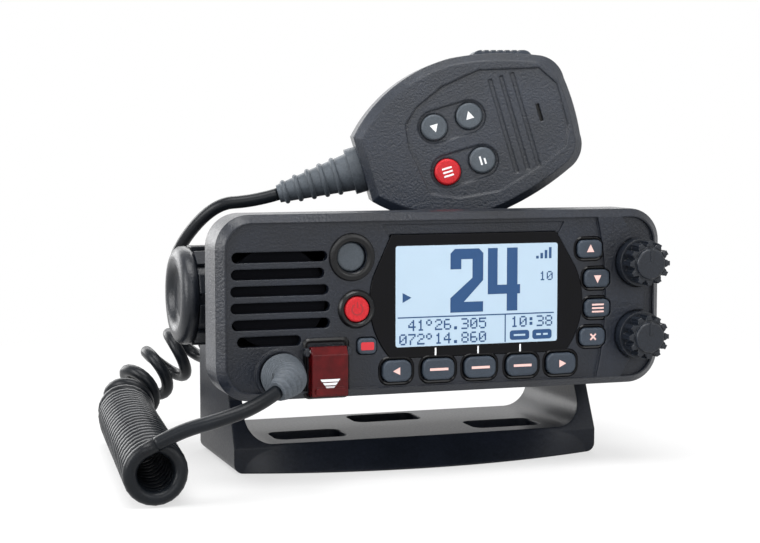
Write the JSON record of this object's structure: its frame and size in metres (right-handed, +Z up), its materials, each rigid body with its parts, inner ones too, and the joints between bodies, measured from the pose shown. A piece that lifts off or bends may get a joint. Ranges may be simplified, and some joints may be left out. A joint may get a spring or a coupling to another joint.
{
  "type": "marine radio",
  "caption": "compact fixed marine transceiver in a tilting U bracket, with display, keys, two dials and a fist microphone on a curly cord",
  "frame": {"origin": "on the flat underside of the bracket, straight under the tilt axis, midway between the arms", "axes": "X to the right across the face, Y to the back, Z up"},
  "size_m": [0.1852, 0.1509, 0.1377],
  "materials": {
    "case_plastic": "fine moulded texture",
    "bracket_plastic": "fine moulded texture",
    "knob_plastic": "fine moulded texture",
    "dial_plastic": "fine moulded texture",
    "mic_plastic": "fine moulded texture",
    "window_gloss": "polished",
    "display_glass": "pale blue display",
    "key_rubber": "satin silicone",
    "red_rubber": "satin silicone",
    "grey_rubber": "satin silicone",
    "cover_red": "tinted polycarbonate",
    "black_rubber": "satin",
    "cord_rubber": "satin polyurethane",
    "boot_rubber": "satin moulded",
    "ptt_rubber": "satin ribbed",
    "stainless": "plain turned",
    "plated_brass": "nickel plated",
    "board_green": "solder mask",
    "paper_cone": "pressed cone",
    "black_metal": "black lacquer"
  },
  "bodies": {
    "bracket": {"bracket": "bracket_plastic", "cord_coil": "cord_rubber"},
    "radio": {"front_case": "case_plastic", "case_gasket": "black_rubber", "rear_chassis": "case_plastic", "case_screws": "stainless", "window_lens": "window_gloss", "lcd_panel": "display_glass", "cover_pin": "stainless", "knob_encoders": "black_metal", "knob_seals": "black_rubber", "front_board": "board_green", "key_mat": "grey_rubber", "grille_membrane": "black_rubber", "speaker_frame": "black_metal", "speaker_cone": "paper_cone", "main_board": "board_green", "antenna_socket": "plated_brass", "cable_glands": "black_rubber", "cord_boot": "boot_rubber", "mount_washers": "black_rubber", "cord_lead": "cord_rubber"},
    "left_knob": {"left_mount_knob": "knob_plastic", "left_mount_stud": "stainless"},
    "right_knob": {"right_mount_knob": "knob_plastic", "right_mount_stud": "stainless"},
    "volume": {"volume_knob": "dial_plastic", "volume_shaft": "stainless"},
    "squelch": {"squelch_knob": "dial_plastic", "squelch_shaft": "stainless"},
    "cover": {"alert_cover": "cover_red"},
    "mic": {"mic_front_case": "mic_plastic", "mic_rear_case": "mic_plastic", "mic_board": "board_green", "mic_element": "black_metal", "mic_hang_button": "stainless", "mic_screws": "stainless", "mic_boot": "black_rubber", "cord_tail": "cord_rubber"},
    "ptt": {"mic_ptt": "ptt_rubber"},
    "left_key_part": {"left_key": "key_rubber"},
    "soft_key_1_part": {"soft_key_1": "key_rubber"},
    "soft_key_2_part": {"soft_key_2": "key_rubber"},
    "soft_key_3_part": {"soft_key_3": "key_rubber"},
    "right_key_part": {"right_key": "key_rubber"},
    "up_key_part": {"up_key": "key_rubber"},
    "down_key_part": {"down_key": "key_rubber"},
    "menu_key_part": {"menu_key": "key_rubber"},
    "clear_key_part": {"clear_key": "key_rubber"},
    "alert_key_part": {"alert_key": "red_rubber"},
    "power_key_part": {"power_key": "red_rubber"},
    "upper_round_key_part": {"upper_round_key": "grey_rubber"},
    "alert_button_part": {"alert_button": "red_rubber"},
    "mic_down_key_part": {"mic_down_key": "grey_rubber"},
    "mic_up_key_part": {"mic_up_key": "grey_rubber"},
    "mic_red_key_part": {"mic_red_key": "red_rubber"},
    "mic_grey_key_part": {"mic_grey_key": "grey_rubber"}
  },
  "joints": [
    {"name": "tilt", "type": "hinge", "parent": "bracket", "child": "radio", "pos_m": [0, 0, 0.056], "axis": [1, 0, 0], "range_deg": [-15, 15], "deforming": ["cord_lead", "cord_coil", "cord_tail"]},
    {"name": "left_knob_turn", "type": "hinge", "parent": "bracket", "child": "left_knob", "pos_m": [-0.07, 0, 0.056], "axis": [1, 0, 0], "continuous": true},
    {"name": "right_knob_turn", "type": "hinge", "parent": "bracket", "child": "right_knob", "pos_m": [0.07, 0, 0.056], "axis": [1, 0, 0], "continuous": true},
    {"name": "volume_turn", "type": "hinge", "parent": "radio", "child": "volume", "pos_m": [0.0666, -0.05, 0.0673], "axis": [0, 1, 0], "range_deg": [-150, 150]},
    {"name": "squelch_turn", "type": "hinge", "parent": "radio", "child": "squelch", "pos_m": [0.0666, -0.05, 0.0433], "axis": [0, 1, 0], "range_deg": [-150, 150]},
    {"name": "cover_lift", "type": "hinge", "parent": "radio", "child": "cover", "pos_m": [-0.0402, -0.0506, 0.0421], "axis": [-1, 0, 0], "range_deg": [0, 100], "stiffness_Nm_per_rad": 0.004, "springref_deg": -28.65},
    {"name": "mic_lift", "type": "slide", "parent": "radio", "child": "mic", "axis": [0, 0, 1], "range_m": [0, 0.08], "deforming": ["cord_tail", "cord_coil"]},
    {"name": "ptt_press", "type": "slide", "parent": "mic", "child": "ptt", "axis": [0.2792, -0.0748, -0.9573], "range_m": [0, 0.002], "stiffness_N_per_m": 1500},
    {"name": "left_key_press", "type": "slide", "parent": "radio", "child": "left_key_part", "axis": [0, 1, 0], "range_m": [0, 0.0008], "stiffness_N_per_m": 1200},
    {"name": "soft_key_1_press", "type": "slide", "parent": "radio", "child": "soft_key_1_part", "axis": [0, 1, 0], "range_m": [0, 0.0008], "stiffness_N_per_m": 1200},
    {"name": "soft_key_2_press", "type": "slide", "parent": "radio", "child": "soft_key_2_part", "axis": [0, 1, 0], "range_m": [0, 0.0008], "stiffness_N_per_m": 1200},
    {"name": "soft_key_3_press", "type": "slide", "parent": "radio", "child": "soft_key_3_part", "axis": [0, 1, 0], "range_m": [0, 0.0008], "stiffness_N_per_m": 1200},
    {"name": "right_key_press", "type": "slide", "parent": "radio", "child": "right_key_part", "axis": [0, 1, 0], "range_m": [0, 0.0008], "stiffness_N_per_m": 1200},
    {"name": "up_key_press", "type": "slide", "parent": "radio", "child": "up_key_part", "axis": [0, 1, 0], "range_m": [0, 0.0008], "stiffness_N_per_m": 1200},
    {"name": "down_key_press", "type": "slide", "parent": "radio", "child": "down_key_part", "axis": [0, 1, 0], "range_m": [0, 0.0008], "stiffness_N_per_m": 1200},
    {"name": "menu_key_press", "type": "slide", "parent": "radio", "child": "menu_key_part", "axis": [0, 1, 0], "range_m": [0, 0.0008], "stiffness_N_per_m": 1200},
    {"name": "clear_key_press", "type": "slide", "parent": "radio", "child": "clear_key_part", "axis": [0, 1, 0], "range_m": [0, 0.0008], "stiffness_N_per_m": 1200},
    {"name": "alert_key_press", "type": "slide", "parent": "radio", "child": "alert_key_part", "axis": [0, 1, 0], "range_m": [0, 0.0008], "stiffness_N_per_m": 1200},
    {"name": "power_key_press", "type": "slide", "parent": "radio", "child": "power_key_part", "axis": [0, 1, 0], "range_m": [0, 0.0008], "stiffness_N_per_m": 1200},
    {"name": "upper_round_key_press", "type": "slide", "parent": "radio", "child": "upper_round_key_part", "axis": [0, 1, 0], "range_m": [0, 0.0008], "stiffness_N_per_m": 1200},
    {"name": "alert_button_press", "type": "slide", "parent": "radio", "child": "alert_button_part", "axis": [0, 1, 0], "range_m": [0, 0.0008], "stiffness_N_per_m": 1200},
    {"name": "mic_down_key_press", "type": "slide", "parent": "mic", "child": "mic_down_key_part", "axis": [0.2588, 0.9659, 0], "range_m": [0, 0.0008], "stiffness_N_per_m": 1200},
    {"name": "mic_up_key_press", "type": "slide", "parent": "mic", "child": "mic_up_key_part", "axis": [0.2588, 0.9659, 0], "range_m": [0, 0.0008], "stiffness_N_per_m": 1200},
    {"name": "mic_red_key_press", "type": "slide", "parent": "mic", "child": "mic_red_key_part", "axis": [0.2588, 0.9659, 0], "range_m": [0, 0.0008], "stiffness_N_per_m": 1200},
    {"name": "mic_grey_key_press", "type": "slide", "parent": "mic", "child": "mic_grey_key_part", "axis": [0.2588, 0.9659, 0], "range_m": [0, 0.0008], "stiffness_N_per_m": 1200}
  ]
}
